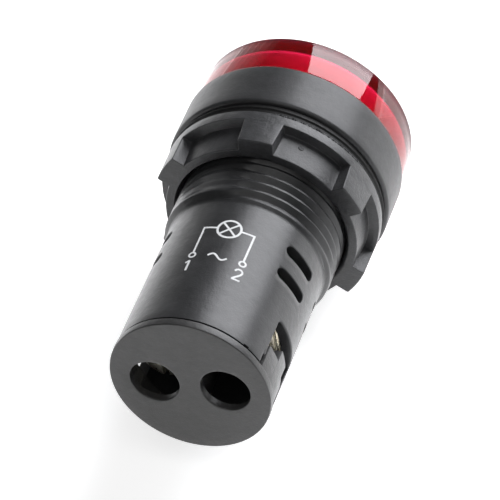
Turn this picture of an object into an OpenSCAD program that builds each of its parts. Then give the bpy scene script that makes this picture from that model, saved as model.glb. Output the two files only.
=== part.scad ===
// Panel indicator lamp, 22 mm size: lens and bezel in front of the panel, threaded barrel with its
// nut and gasket through it, and a tube with two screw terminals behind it.
// The lamp is drawn along its own axis, with z = 0 on the bezel's seat and the lens at +z, and is
// then laid down so that the lens faces -Y, the terminals face +Y and +Z is up.

/* [Lens and bezel] */
// Diameter of the lens above the bezel
lens_d = 28.06; // [26:0.02:28.4]
// Height of the lens above the bezel
lens_h = 6.05; // [5:0.05:9]
// Thickness of the lens's front plate
lens_plate_t = 1.6; // [1.2:0.1:3]
// Diameter of the lens inside its wall
lens_bore_d = 23.6; // [22.4:0.1:23.9]
// Depth of the lens's skirt inside the bezel
lens_skirt_h = 2.2; // [1.5:0.1:2.3]
// Height of the bezel in front of the panel
bezel_h = 6.8; // [6:0.05:9]
// Diameter of the bezel at its seat
bezel_rear_d = 29.0; // [28.6:0.02:32]
// Diameter of the bezel at the lens
bezel_front_d = 29.0; // [28.4:0.02:29.6]
// Wall of the lens's skirt inside the bezel
skirt_wall = 0.8; // [0.6:0.05:1]
// Depth of the cavity inside the bezel, from the lens down to the board's ledge
cavity_depth = 3.95; // [3.6:0.05:5]

/* [Barrel and tube] */
// Major diameter of the threaded barrel
barrel_d = 21.8; // [21:0.05:22.5]
// Length of the threaded barrel behind the seat
barrel_len = 12.75; // [11:0.05:15]
// Outside diameter of the tube behind the barrel
tube_d = 20.1; // [19.6:0.05:20.8]
// Inside diameter of the tube and the barrel
bore_d = 17.4; // [17:0.05:17.8]
// Depth of the housing behind the seat
body_depth = 34.6; // [33:0.1:40]

/* [Vent slots] */
// Width of a vent slot along the lamp
vent_w = 1.6; // [1:0.1:2.2]
// Length of a vent slot across the tube
vent_len = 5.4; // [4:0.1:6.5]
// Distance from the seat to the first row of vent slots
vent_depth = 17.3; // [15.5:0.05:18.5]
// Distance between the two rows of vent slots
vent_row_pitch = 3.85; // [3:0.05:4.2]
// Angle from a terminal to the nearest vent slot
vent_angle = 27; // [22:1:40]

/* [Nut and gasket] */
// Height of the nut
nut_h = 5.4; // [4:0.05:6.5]
// Diameter of the nut's round body between its lobes
nut_body_d = 24.9; // [23.6:0.1:25.6]
// Diameter across the nut's lobes
nut_lobe_d = 28.3; // [27:0.1:29.5]
// Number of lobes on the nut
nut_lobes = 6; // [4:1:8]
// Width of a lobe at the nut's collar
lobe_front_w = 5.0; // [4:0.1:6]
// Width of a lobe at the nut's free face
lobe_rear_w = 4.4; // [3.4:0.1:6]
// Diameter of the nut's collar
nut_collar_d = 28.4; // [27.4:0.1:30]
// Thickness of the nut's collar
nut_collar_t = 1.55; // [0.8:0.05:2]
// Step from the bezel's edge in to the gasket's edge
gasket_inset = 0.3; // [0:0.02:1]
// Thickness of the gasket
gasket_t = 1.55; // [0.8:0.05:2.5]

/* [Rear cap] */
// Thickness of the rear cap's rim
cap_t = 1.0; // [0.8:0.05:2]
// Diameter of the rear cap at its rear face
cap_rear_d = 20.0; // [19.4:0.05:20.4]
// Diameter of the rear cap at the seam
cap_seam_d = 20.4; // [20:0.05:21]
// Diameter of the two screwdriver holes
tool_hole_d = 6.22; // [5.8:0.02:6.6]
// Distance between the two terminals
terminal_pitch = 8.9; // [8.6:0.1:9.3]
// Depth of the cap's spigot inside the tube
spigot_h = 2.2; // [1.2:0.1:2.8]

/* [Terminal windows] */
// Width of a wire window in the tube
window_w = 8.3; // [7.6:0.1:8.8]
// Length of a wire window from the tube's rear end
window_h = 7.6; // [7:0.1:9]
// Height of the cap's tongue in the window
tongue_h = 3.55; // [2:0.05:4.5]
// Width of the barrier finger in the middle of the tongue
finger_w = 2.7; // [2:0.1:3.2]
// Height of the barrier finger above the tongue
finger_h = 1.8; // [0.8:0.1:2.2]

/* [Screw terminals] */
// Thread diameter of a terminal screw
screw_d = 3.0; // [2.5:0.1:3.2]
// Length of a terminal screw under its head
screw_len = 6.0; // [5:0.1:6.6]
// Diameter of a terminal screw's head
screw_head_d = 5.5; // [5:0.1:5.7]
// Height of a terminal screw's head
screw_head_h = 1.8; // [1.4:0.1:2]
// Room around a square clamp washer, to the tube and to the barrier
washer_room = 0.65; // [0.3:0.05:1]
// Thickness of a clamp washer
washer_t = 0.9; // [0.6:0.05:1.2]
// Gap under the left clamp washer as the lamp is supplied
left_wire_gap = 0.35; // [0.2:0.05:1.5]
// Gap under the right clamp washer as the lamp is supplied
right_wire_gap = 3.0; // [0.2:0.05:3.2]
// Width of a terminal plate
plate_w = 6.6; // [6:0.1:7.2]
// Thickness of a terminal plate
plate_t = 1.2; // [0.8:0.05:1.6]
// Distance between the serrations on a terminal plate
serration_pitch = 0.55; // [0.4:0.05:1]

/* [Boards] */
// Thickness of the two circuit boards
board_t = 1.6; // [1:0.1:1.8]
// Width of the driver board
driver_w = 15.0; // [14:0.1:16]
// Diameter of the light board
led_board_d = 22.6; // [22.2:0.1:23.2]
// Number of light-emitting chips
led_count = 6; // [4:1:6]
// Side of a light-emitting chip
led_w = 3.5; // [2.8:0.1:4]
// Height of a light-emitting chip
led_h = 1.4; // [0.8:0.1:1.9]
// Diameter of the circle that the chips lie on
led_circle_d = 13; // [11:0.1:14]
// Thickness of the diffuser
diffuser_t = 1.2; // [0.8:0.1:2]

/* [Driver parts] */
// Width of the dropper capacitor
dropper_w = 9.5; // [7:0.1:10]
// Thickness of the dropper capacitor
dropper_t = 5.2; // [4:0.1:5.4]
// Length of the dropper capacitor
dropper_len = 11.5; // [8:0.1:12]
// Diameter of the smoothing capacitor
smoothing_d = 5.0; // [4:0.1:5.2]
// Length of the smoothing capacitor
smoothing_len = 8.0; // [6:0.1:9]
// Side of the bridge rectifier
bridge_w = 4.6; // [4:0.1:5]
// Height of the bridge rectifier
bridge_t = 2.2; // [1.5:0.1:2.6]
// Diameter of a resistor
resistor_d = 2.3; // [1.8:0.1:2.6]
// Length of a resistor
resistor_len = 6.0; // [5:0.1:6.4]
// Diameter of the surge varistor
varistor_d = 6.4; // [5:0.1:6.6]
// Thickness of the surge varistor
varistor_t = 2.6; // [2:0.1:3]

/* [Hidden] */
$fn = 96;

// Clearances
lens_clear = 0.1;
seal_clear = 0.05;
nut_clear = 0.08;
gasket_clear = 0.2;
seat_clear = 0.03;
cap_seam = 0.12;
spigot_clear = 0.1;
tongue_clear = 0.2;
screw_clear = 0.05;
washer_clear = 0.15;
tail_clear = 0.15;
board_clear = 0.1;
stack_clear = 0.05;
cut = 1;

// Radii
lens_r = lens_d / 2;
lens_bore_r = lens_bore_d / 2;
bezel_rear_r = bezel_rear_d / 2;
bezel_front_r = bezel_front_d / 2;
cavity_r = lens_bore_r + skirt_wall + lens_clear;
barrel_r = barrel_d / 2;
tube_r = tube_d / 2;
bore_r = bore_d / 2;
skirt_r = cavity_r - lens_clear;

// Stations along the lamp, from the seat at zero
bezel_front = bezel_h;
lens_front = bezel_front + lens_h;
lens_inside = lens_front - lens_plate_t;
ledge = bezel_front - cavity_depth;
thread_end = -barrel_len;
body_end = -body_depth;
cap_top = body_end - cap_seam;
cap_rear = cap_top - cap_t;
window_top = body_end + window_h;

// Small edges
edge = 0.3;
thread_lead = 0.45;

// Snap bead that holds the lens in the bezel
bead_depth = 0.25;
bead_h = 0.7;
bead_z = bezel_front - lens_skirt_h / 2;

// Seal between the lens and the bezel
seal_w = 0.8;
seal_h = 0.8;
seal_land = 0.3;
seal_r = cavity_r + seal_land;

// Screw terminals: each plate lies on a shelf across the tube
terminal_x = terminal_pitch / 2;
plate_setback = 0.75;
plate_rear = window_top + plate_setback;
plate_front = plate_rear + plate_t;
plate_reach = 3.05;
plate_inner_x = terminal_x - plate_reach;
plate_r = bore_r - board_clear;
serration_depth = 0.2;
collar_wall = 0.75;
collar_r = screw_d / 2 + collar_wall;
collar_h = 1.0;
tail_w = 1.6;
tail_t = 0.8;
tail_x = plate_inner_x + tail_t / 2;
tail_y = board_t / 2 + tail_w / 2;
shelf_t = 1.2;
shelf_front = plate_front + shelf_t;
barrier_t = 1.4;
corner_r = bore_r - washer_room;
washer_w = min(sqrt(2 * pow(corner_r, 2) - pow(terminal_x, 2)) - terminal_x,
    2 * (terminal_x - barrier_t / 2 - washer_room / 2));
washer_lip = 0.35;
washer_lip_w = 0.7;
head_edge = 0.25;
slot_w = 0.8;
slot_depth = 0.9;
screw_chamfer = 0.4;

// Boards: the driver board stands in guide rails behind the light board
screw_room = 0.6;
deepest_screw = plate_rear - washer_t - washer_lip + screw_len;
board_rear = max(shelf_front + screw_room, deepest_screw + screw_room);
driver_front = ledge - stack_clear;
rail_w = 1.0;
rail_depth = 0.9;
rail_x = driver_w / 2 - rail_depth;
led_board_front = ledge + board_t;
tail_lap = 4;
tail_front = board_rear + tail_lap;
driver_face = board_t / 2;

// Reflector and diffuser fill the space between the light board and the lens
diffuser_front = lens_inside - stack_clear;
diffuser_rear = diffuser_front - diffuser_t;
reflector_wall = 0.9;
reflector_r = lens_bore_r - lens_clear;
throat_room = 0.9;
reflector_throat_r = led_circle_d / 2 + led_w / 2 + throat_room;

// Link pins between the two boards
pin_w = 0.64;
pin_pitch = 2.54;
pin_count = 4;
pin_grip = 3;
pin_stand = 0.5;
pin_hole_r = 0.55;

// Rear cap
spigot_wall = 1.2;
well_step = 0.35;
barrier_w = 10;
tongue_wall = 1.1;
notch_angle = 138.5;
notch_w = 0.8;
notch_h = 0.35;

// Nut
nut_front = -gasket_t - 2 * seat_clear;
nut_rear = nut_front - nut_h;
nut_bore_r = barrel_r + nut_clear;
nut_lead = 0.4;
first_lobe_angle = 34;

// Lays the lamp down, with its lens towards -Y
module laid() {
    rotate([90, 0, 0]) children();
}

// Ring about the lamp's axis between two stations
module ring(rear, front, outer, inner) {
    difference() {
        translate([0, 0, rear]) cylinder(h = front - rear, r = outer);
        translate([0, 0, rear - cut]) cylinder(h = front - rear + 2 * cut, r = inner);
    }
}

// Block given by its middle in x and y, its size and its two stations
module block(x, y, w, d, rear, front) {
    translate([x - w / 2, y - d / 2, rear]) cube([w, d, front - rear]);
}

// Slot with round ends that points away from the lamp's axis
module vent_slot(angle, station) {
    straight = vent_len - vent_w;
    rotate([0, 0, angle]) translate([0, 0, station]) rotate([0, 90, 0]) {
        translate([-vent_w / 2, -straight / 2, bore_r - 2 * cut]) cube([vent_w, straight, 4 * cut]);
        for (side = [-1, 1])
            translate([0, side * straight / 2, bore_r - 2 * cut]) cylinder(h = 4 * cut, d = vent_w);
    }
}

// Outside of the housing, from the tube's rear end to the bezel's front
module housing_outside() {
    rotate_extrude() polygon([
        [0, body_end],
        [tube_r, body_end],
        [tube_r, thread_end - thread_lead],
        [barrel_r, thread_end],
        [barrel_r, 0],
        [bezel_rear_r - edge, 0],
        [bezel_rear_r, edge],
        [bezel_front_r, bezel_front - edge],
        [bezel_front_r - edge, bezel_front],
        [0, bezel_front]
    ]);
}

// Inside of the housing: bore, cavity, groove for the lens's snap bead and groove for its seal
module housing_inside() {
    translate([0, 0, body_end - cut]) cylinder(h = bezel_front - body_end + 2 * cut, r = bore_r);
    translate([0, 0, ledge]) cylinder(h = bezel_front - ledge + cut, r = cavity_r);
    rotate_extrude() polygon([
        [cavity_r - cut, bead_z - bead_h / 2 - lens_clear],
        [cavity_r, bead_z - bead_h / 2 - lens_clear],
        [cavity_r + bead_depth, bead_z - lens_clear],
        [cavity_r + bead_depth, bead_z + lens_clear],
        [cavity_r, bead_z + bead_h / 2 + lens_clear],
        [cavity_r - cut, bead_z + bead_h / 2 + lens_clear]
    ]);
    ring(bezel_front - seal_h, bezel_front + cut, seal_r + seal_w + seal_clear, seal_r - seal_clear);
}

// Shelf across the tube with room for the screws' ends and the plates' tails
module terminal_shelf() {
    difference() {
        translate([0, 0, plate_front]) cylinder(h = shelf_t, r = bore_r + edge);
        for (side = [-1, 1]) {
            translate([side * terminal_x, 0, plate_front - cut])
                cylinder(h = shelf_t + 2 * cut, r = collar_r + tail_clear);
            block(side * tail_x, tail_y, tail_t + 2 * tail_clear, tail_w + 2 * tail_clear,
                plate_front - cut, shelf_front + cut);
        }
    }
}

// Pair of ribs on each side of the bore, which the driver board slides between
module board_rails() {
    for (side = [-1, 1], face = [-1, 1])
        block(side * (rail_x + bore_r) / 2, face * (driver_face + board_clear + rail_w / 2),
            bore_r - rail_x + edge, rail_w, shelf_front, ledge);
}

// Tube, threaded barrel and bezel moulded in one piece
module housing() {
    color([0.09, 0.09, 0.10]) laid() difference() {
        union() {
            difference() {
                housing_outside();
                housing_inside();
            }
            terminal_shelf();
            intersection() {
                board_rails();
                translate([0, 0, body_end]) cylinder(h = ledge - body_end, r = bore_r + edge);
            }
        }
        for (side = [0, 180]) {
            rotate([0, 0, side]) block(tube_r, 0, tube_r, window_w, body_end - cut, window_top);
            for (row = [0, 1], lean = [-1, 1])
                vent_slot(side + lean * vent_angle, -vent_depth - row * vent_row_pitch);
        }
        rotate([0, 0, notch_angle])
            block(tube_r, 0, 2 * edge, notch_w, body_end - cut, body_end + notch_h);
    }
}

// Lens: a front plate, a wall that stands on the bezel and a skirt with a snap bead
module lens() {
    skirt_end = bezel_front - lens_skirt_h;
    seat = bezel_front + stack_clear;
    color([0.75, 0.03, 0.06, 0.6]) laid() difference() {
        rotate_extrude() polygon([
            [0, skirt_end],
            [skirt_r, skirt_end],
            [skirt_r, bead_z - bead_h / 2],
            [skirt_r + bead_depth, bead_z],
            [skirt_r, bead_z + bead_h / 2],
            [skirt_r, seat],
            [lens_r, seat],
            [lens_r, lens_front - edge],
            [lens_r - edge, lens_front],
            [0, lens_front]
        ]);
        translate([0, 0, skirt_end - cut]) cylinder(h = lens_inside - skirt_end + cut, r = lens_bore_r);
    }
}

// Flat ring in the bezel's groove, under the lens
module lens_seal() {
    color([0.06, 0.06, 0.06]) laid()
        ring(bezel_front - seal_h, bezel_front, seal_r + seal_w, seal_r);
}

// White cup that stands on the light board and carries the diffuser
module reflector() {
    color([0.93, 0.93, 0.90]) laid() rotate_extrude() polygon([
        [reflector_throat_r, led_board_front],
        [reflector_throat_r + reflector_wall, led_board_front],
        [reflector_r - reflector_wall, led_board_front + 2 * reflector_wall],
        [reflector_r, led_board_front + 3 * reflector_wall],
        [reflector_r, diffuser_rear],
        [reflector_r - reflector_wall, diffuser_rear]
    ]);
}

// Frosted disc under the lens's front plate
module diffuser() {
    color([0.95, 0.85, 0.85, 0.8]) laid() translate([0, 0, diffuser_rear])
        cylinder(h = diffuser_t, r = reflector_r);
}

// Round board on the bezel's ledge, drilled for the link pins
module led_board() {
    color([0.05, 0.30, 0.12]) laid() difference() {
        translate([0, 0, ledge]) cylinder(h = board_t, d = led_board_d);
        for (i = [0 : pin_count - 1])
            translate([link_x(i), link_y(), ledge - cut])
                cylinder(h = board_t + 2 * cut, r = pin_hole_r);
    }
}

// Ring of light-emitting chips, each with a shallow dished window
module led_chips() {
    color([0.95, 0.90, 0.62]) laid()
        for (i = [0 : led_count - 1])
            rotate([0, 0, 360 / led_count * (i + 0.5)]) translate([led_circle_d / 2, 0, 0]) difference() {
                block(0, 0, led_w, led_w, led_board_front, led_board_front + led_h);
                translate([0, 0, led_board_front + led_h - edge / 2])
                    cylinder(h = edge, r = led_w / 2 - edge);
            }
}

// Board that stands in the rails and carries the mains-dropper parts
module driver_board() {
    color([0.06, 0.33, 0.14]) laid() block(0, 0, driver_w, board_t, board_rear, driver_front);
}

// Film capacitor on the upper face of the driver board, in front of the plates' tails
dropper_rear = tail_front + 1;
dropper_front = dropper_rear + dropper_len;
module dropper_capacitor() {
    color([0.80, 0.65, 0.10]) laid()
        block(0, driver_face + dropper_t / 2, dropper_w, dropper_t, dropper_rear, dropper_front);
}

// Parts on the lower face of the driver board lie one behind the other
lower_gap = 0.8;
varistor_rear = board_rear + lower_gap;
varistor_front = varistor_rear + varistor_d;
resistor_rear = varistor_front + lower_gap;
resistor_front = resistor_rear + resistor_len;
bridge_rear = resistor_front + lower_gap;
smoothing_rear = varistor_front + lower_gap;
resistor_x = bore_r / 4;

// Can that smooths the rectified supply, lying on the board
module smoothing_capacitor() {
    color([0.10, 0.12, 0.22]) laid()
        translate([-bore_r / 3, -driver_face - smoothing_d / 2, smoothing_rear])
            cylinder(h = smoothing_len, d = smoothing_d);
}

// Square package beside the resistors
module bridge_rectifier() {
    color([0.12, 0.12, 0.13]) laid()
        block(resistor_x + resistor_d / 2, -driver_face - bridge_t / 2, bridge_w, bridge_t,
            bridge_rear, bridge_rear + bridge_w);
}

// Pair of resistors with caps that are a little wider than their bodies
module dropper_resistors() {
    cap_len = resistor_len / 5;
    waist = resistor_d - edge;
    color([0.62, 0.50, 0.32]) laid()
        for (i = [0, 1])
            translate([resistor_x + i * (resistor_d + edge), -driver_face - resistor_d / 2, resistor_rear]) {
                cylinder(h = cap_len, d = resistor_d);
                cylinder(h = resistor_len, d = waist);
                translate([0, 0, resistor_len - cap_len]) cylinder(h = cap_len, d = resistor_d);
            }
}

// Disc that clips surges, lying flat on the board
module surge_varistor() {
    color([0.10, 0.25, 0.55]) laid()
        translate([0, -driver_face, varistor_rear + varistor_d / 2])
            rotate([90, 0, 0]) cylinder(h = varistor_t, d = varistor_d);
}

// Place of a link pin, on the upper face of the driver board
function link_x(i) = (i - (pin_count - 1) / 2) * pin_pitch;
function link_y() = driver_face + pin_w / 2;

// Row of square pins from the driver board up through the light board
module board_link_pins() {
    color([0.83, 0.70, 0.35]) laid()
        for (i = [0 : pin_count - 1])
            block(link_x(i), link_y(), pin_w, pin_w, driver_front - pin_grip, led_board_front + pin_stand);
}

// Section of the tongue that closes the lower part of a wire window
module window_tongue() {
    shoulder = body_end + tongue_h;
    tongue_w = window_w - 2 * tongue_clear;
    intersection() {
        ring(cap_top - edge, shoulder + finger_h, tube_r, tube_r - tongue_wall);
        union() {
            block(tube_r, 0, tube_r, tongue_w, cap_top - edge, shoulder);
            block(tube_r, 0, tube_r, finger_w, cap_top - edge, shoulder + finger_h);
        }
    }
}

// Rear cap: rim, spigot, barrier between the terminals and a tongue for each wire window
module rear_cap() {
    barrier_front = plate_rear - stack_clear;
    spigot_r = bore_r - spigot_clear;
    color([0.13, 0.13, 0.14]) laid() difference() {
        union() {
            rotate_extrude() polygon([
                [0, cap_rear],
                [cap_rear_d / 2 - edge / 2, cap_rear],
                [cap_rear_d / 2, cap_rear + edge / 2],
                [cap_seam_d / 2, cap_top],
                [0, cap_top]
            ]);
            ring(cap_top - edge, body_end + spigot_h, spigot_r, spigot_r - spigot_wall);
            block(0, 0, barrier_t, barrier_w, cap_top - edge, barrier_front);
            for (side = [0, 180]) rotate([0, 0, side]) {
                window_tongue();
                block(tube_r - tongue_wall - edge, 0, 2 * edge + tongue_wall, window_w - 2 * tongue_clear,
                    cap_top - edge, body_end + spigot_h);
            }
        }
        for (side = [-1, 1]) translate([side * terminal_x, 0, 0]) {
            translate([0, 0, cap_rear - cut]) cylinder(h = cap_t + 2 * cut, d = tool_hole_d);
            translate([0, 0, cap_top]) cylinder(h = plate_rear - cap_top, d = tool_hole_d + 2 * well_step);
        }
    }
}

// Brass plate with a threaded collar, a serrated face for the wire and a tail to the driver board
module terminal_plate(side) {
    color([0.80, 0.72, 0.50]) laid() rotate([0, 0, side]) difference() {
        union() {
            intersection() {
                block((plate_inner_x + bore_r) / 2, 0, bore_r - plate_inner_x, plate_w,
                    plate_rear, plate_front);
                translate([0, 0, plate_rear]) cylinder(h = plate_t, r = plate_r);
            }
            translate([terminal_x, 0, plate_front - edge]) cylinder(h = collar_h + edge, r = collar_r);
            block(tail_x, tail_side(side) * tail_y, tail_t, tail_w, plate_front - edge, tail_front);
        }
        translate([terminal_x, 0, plate_rear - cut])
            cylinder(h = plate_t + collar_h + 2 * cut, r = screw_d / 2 + screw_clear);
        for (x = [plate_inner_x + serration_pitch : serration_pitch : bore_r])
            translate([x, plate_w, plate_rear]) rotate([90, 0, 0]) linear_extrude(2 * plate_w) polygon([
                [-serration_depth, -edge / 2],
                [-serration_depth, 0],
                [0, serration_depth],
                [serration_depth, 0],
                [serration_depth, -edge / 2]
            ]);
    }
}

// Both tails lie on the same face of the driver board, so the turned plate's tail is on its other side
function tail_side(side) = side == 0 ? 1 : -1;

module left_terminal_plate() {
    terminal_plate(180);
}

module right_terminal_plate() {
    terminal_plate(0);
}

// Square washer with two turned-down edges that keep the wire under it
module clamp_washer(side, gap) {
    washer_front = plate_rear - gap;
    washer_rear = washer_front - washer_t;
    color([0.78, 0.76, 0.70]) laid() translate([side * terminal_x, 0, 0]) difference() {
        block(0, 0, washer_w, washer_w, washer_rear, washer_front);
        block(0, 0, washer_w + cut, washer_w - 2 * washer_lip_w,
            washer_front - washer_lip, washer_front + cut);
        translate([0, 0, washer_rear - cut])
            cylinder(h = washer_t + 2 * cut, r = screw_d / 2 + washer_clear);
    }
}

module left_clamp_washer() {
    clamp_washer(-1, left_wire_gap);
}

module right_clamp_washer() {
    clamp_washer(1, right_wire_gap);
}

// Slotted screw with a round-edged cheese head
module terminal_screw(side, gap) {
    head_front = plate_rear - gap - washer_t - stack_clear;
    head_rear = head_front - screw_head_h;
    head_r = screw_head_d / 2;
    tip = head_front + screw_len;
    color([0.75, 0.73, 0.68]) laid() translate([side * terminal_x, 0, 0]) difference() {
        rotate_extrude() polygon([
            [0, head_rear],
            [head_r - 3 * head_edge, head_rear],
            [head_r - head_edge, head_rear + head_edge],
            [head_r, head_rear + 3 * head_edge],
            [head_r, head_front],
            [screw_d / 2, head_front],
            [screw_d / 2, tip - screw_chamfer],
            [screw_d / 2 - screw_chamfer, tip],
            [0, tip]
        ]);
        block(0, 0, slot_w, screw_head_d + cut, head_rear - cut, head_rear + slot_depth);
    }
}

module left_terminal_screw() {
    terminal_screw(-1, left_wire_gap);
}

module right_terminal_screw() {
    terminal_screw(1, right_wire_gap);
}

// Rubber ring between the bezel and the panel, with a rounded outer edge
module panel_gasket() {
    gasket_r = bezel_rear_r - gasket_inset;
    front = -seat_clear;
    rear = front - gasket_t;
    round_r = gasket_t / 3;
    steps = 5;
    rear_round = [for (i = [0 : steps]) let (a = -90 + 90 / steps * i)
        [gasket_r - round_r + round_r * cos(a), rear + round_r + round_r * sin(a)]];
    front_round = [for (i = [0 : steps]) let (a = 90 / steps * i)
        [gasket_r - round_r + round_r * cos(a), front - round_r + round_r * sin(a)]];
    color([0.05, 0.05, 0.05]) laid() rotate_extrude() polygon(concat(
        [[barrel_r + gasket_clear, front], [barrel_r + gasket_clear, rear]],
        rear_round,
        front_round
    ));
}

// Grip lobe of the nut: it narrows towards the free face, as moulded
module nut_lobe(angle) {
    lobe_front = nut_front - nut_collar_t;
    rotate([0, 0, angle]) rotate([90, 0, 90]) linear_extrude(nut_lobe_d) polygon([
        [-lobe_rear_w / 2, nut_rear],
        [lobe_rear_w / 2, nut_rear],
        [lobe_front_w / 2, lobe_front + edge],
        [-lobe_front_w / 2, lobe_front + edge]
    ]);
}

// Round nut with a thin collar in front and grip lobes behind it
module mounting_nut() {
    collar_rear = nut_front - nut_collar_t;
    color([0.10, 0.10, 0.11]) laid() difference() {
        union() {
            translate([0, 0, nut_rear]) cylinder(h = nut_h, d = nut_body_d);
            translate([0, 0, collar_rear]) cylinder(h = nut_collar_t, d = nut_collar_d);
            intersection() {
                for (i = [0 : nut_lobes - 1]) nut_lobe(first_lobe_angle + 360 / nut_lobes * i);
                translate([0, 0, nut_rear]) cylinder(h = nut_h, d = nut_lobe_d);
            }
        }
        translate([0, 0, nut_rear - cut]) cylinder(h = nut_h + 2 * cut, r = nut_bore_r);
        translate([0, 0, nut_rear]) cylinder(h = nut_lead, r1 = nut_bore_r + nut_lead, r2 = nut_bore_r);
    }
}

housing();
lens();
lens_seal();
reflector();
diffuser();
led_board();
led_chips();
driver_board();
dropper_capacitor();
smoothing_capacitor();
bridge_rectifier();
dropper_resistors();
surge_varistor();
board_link_pins();
rear_cap();
left_terminal_plate();
right_terminal_plate();
left_clamp_washer();
right_clamp_washer();
left_terminal_screw();
right_terminal_screw();
panel_gasket();
mounting_nut();
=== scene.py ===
import math
import random

import bmesh
import bpy
from mathutils import Matrix, Vector


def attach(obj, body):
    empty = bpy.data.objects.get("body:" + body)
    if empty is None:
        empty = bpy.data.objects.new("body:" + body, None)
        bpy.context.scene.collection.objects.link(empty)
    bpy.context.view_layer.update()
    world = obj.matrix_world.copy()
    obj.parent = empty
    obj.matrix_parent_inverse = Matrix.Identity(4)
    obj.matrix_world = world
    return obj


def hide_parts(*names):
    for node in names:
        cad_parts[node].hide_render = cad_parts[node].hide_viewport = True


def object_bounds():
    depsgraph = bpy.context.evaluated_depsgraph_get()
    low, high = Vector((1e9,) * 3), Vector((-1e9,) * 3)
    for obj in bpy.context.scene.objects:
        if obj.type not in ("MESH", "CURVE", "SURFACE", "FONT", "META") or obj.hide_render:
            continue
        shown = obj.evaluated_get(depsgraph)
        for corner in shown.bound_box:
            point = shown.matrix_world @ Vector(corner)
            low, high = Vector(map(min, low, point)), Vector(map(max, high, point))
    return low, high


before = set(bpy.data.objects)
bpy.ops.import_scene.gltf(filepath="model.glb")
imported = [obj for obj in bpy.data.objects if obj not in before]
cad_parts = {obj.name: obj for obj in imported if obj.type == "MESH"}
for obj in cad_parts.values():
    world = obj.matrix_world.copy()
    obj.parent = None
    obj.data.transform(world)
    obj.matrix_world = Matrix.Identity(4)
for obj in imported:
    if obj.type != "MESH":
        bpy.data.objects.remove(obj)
cad_low, cad_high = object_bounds()

# Sizes in millimetres along the lamp's own axis: zero is the bezel's seat and the lens is at plus z.
MM = 0.001
BEZEL_R = 14.49
BEZEL_FRONT = 6.8
CAVITY_R = 12.7
LEDGE = 2.85
SEAL_INNER_R = 12.95
SEAL_OUTER_R = 13.85
SEAL_FLOOR = 6.0
LENS_R = 14.03
LENS_BORE_R = 11.8
LENS_SEAT = 6.85
LENS_FRONT = 12.85
LENS_INSIDE = 11.68
SKIRT_R = 12.6
SKIRT_END = 4.6
BARREL_R = 10.9
THREAD_END = -12.75
TUBE_R = 10.05
TUBE_FRONT = -12.4
BORE_R = 8.7
BODY_END = -34.6
WINDOW_TOP = -27.0
WINDOW_HALF = 4.15
SHELF_REAR = -25.05
SHELF_FRONT = -23.85
CAP_R = 10.14
CAP_REAR = -35.72
CAP_TOP = -34.72
TERMINAL_X = 4.45
TOOL_HOLE_R = 3.11
NUT_FRONT = -1.61
NUT_REAR = -7.01
COLLAR_REAR = -3.16
COLLAR_R = 14.2
LOBE_R = 14.15
NUT_BODY_R = 12.45
POCKET_RISE = 0.38
LOBE_COUNT = 6
LOBE_ANGLE = 34.0
LOBE_HALF = 2.2
LOBE_TAPER = 0.3
FLASH_ANGLES = (96.0, 152.0)
EJECTOR_ANGLES = (357.0, 117.0, 237.0)
NUT_BORE_R = 10.97
NUT_LEAD_R = 11.36
NUT_LEAD = 0.38
NUT_MOUTH = 0.18
NUT_THREAD = 0.15
THREAD_PITCH = 1.5
THREAD_PHASE = -11.99
THREAD_ANGLE = 120.0
THREAD_ROOT_R = 10.28
CREST_HALF = 0.075
CREST_SLOPE = 0.6
FLANK_ANGLES = (52.0, 232.0)
FLANK_BEGINS = (-92.0, -28.0)
FLANK_ENDS = (28.0, 45.0)
FLANK_R = 10.70
FLANK_TRACE = 0.08
THREAD_START = 0.6
RUN_OUT = 1.1
VENT_ANGLES = (-27.0, 27.0)
VENT_STATIONS = (-17.3, -21.15)
VENT_LENGTH = 5.4
VENT_WIDTH = 1.6
CUT_DEPTH = 2.6
NOTCH_ANGLE = 138.5
SPIGOT_R = 8.6
SPIGOT_BORE_R = 7.4
SPIGOT_END = -32.4
CAP_INSIDE = CAP_TOP + 0.3
WELL_R = 3.46
COLLAR_HOLE_R = 2.4
GASKET_BORE_R = 11.1
GASKET_R = 13.96
GASKET_FRONT = -0.03
GASKET_REAR = -1.58
SCREW_HEAD_R = 2.75
SCREW_HEAD_H = 1.8
SCREW_R = 1.5
SCREW_LENGTH = 6.0
SCREW_PITCH = 0.5
SCREW_THREAD = 0.28
SCREW_SLOT_HALF = 0.4
LEFT_HEAD_REAR = -29.35
RIGHT_HEAD_REAR = -32.0
# Points closer than this are joined after a cut
WELD = 0.0015


def lamp_point(x, y, z):
    """Point of the lamp's own frame, in metres of the shared frame."""
    return Vector((x, -z, y)) * MM


def polar(radius, angle, z):
    """Point at an angle about the lamp's axis."""
    turn = math.radians(angle)
    return lamp_point(radius * math.cos(turn), radius * math.sin(turn), z)


def beside(outward, across, z, angle):
    """Point at a distance from the axis along a direction, and at another across it."""
    turn = math.radians(angle)
    x = outward * math.cos(turn) - across * math.sin(turn)
    y = outward * math.sin(turn) + across * math.cos(turn)
    return lamp_point(x, y, z)


def smooth_step(low, high, value):
    """Rises from 0 at low to 1 at high."""
    share = min(max((value - low) / (high - low), 0.0), 1.0)
    return share * share * (3.0 - 2.0 * share)


def angle_gap(a, b):
    """Signed difference of two angles, from -180 to 180 degrees."""
    return (a - b + 180.0) % 360.0 - 180.0


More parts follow.
